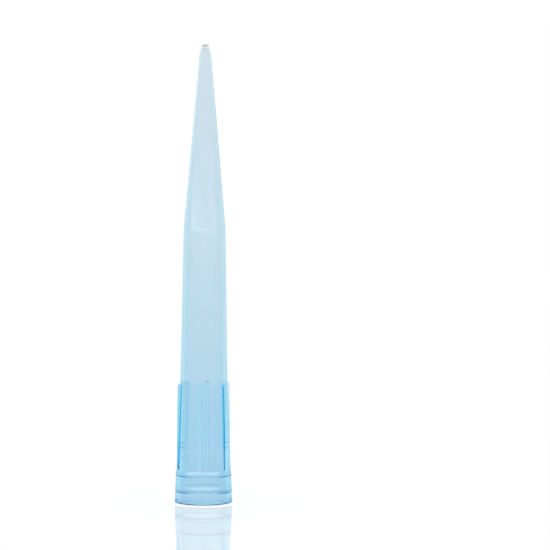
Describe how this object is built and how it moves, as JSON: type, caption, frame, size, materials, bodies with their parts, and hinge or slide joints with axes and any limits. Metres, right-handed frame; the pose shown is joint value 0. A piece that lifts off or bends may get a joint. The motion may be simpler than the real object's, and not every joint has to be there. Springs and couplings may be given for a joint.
{
  "type": "pipette tip",
  "caption": "Long hollow plastic cone with a finned collar at its wide mouth and a small orifice at its point, pushed onto a pipette's nose to draw up and dispense liquid.",
  "frame": {"origin": "centre of the mouth, on the plane of the rim that the tip stands on", "axes": "+Z along the bore, from the mouth towards the point; -Y passes through the middle of one fin"},
  "size_m": [0.009, 0.009, 0.0709],
  "materials": {
    "blue_polypropylene": "translucent pale blue moulded polypropylene with a soft gloss"
  },
  "bodies": {
    "root": {"pipette_tip": "blue_polypropylene"}
  },
  "joints": []
}
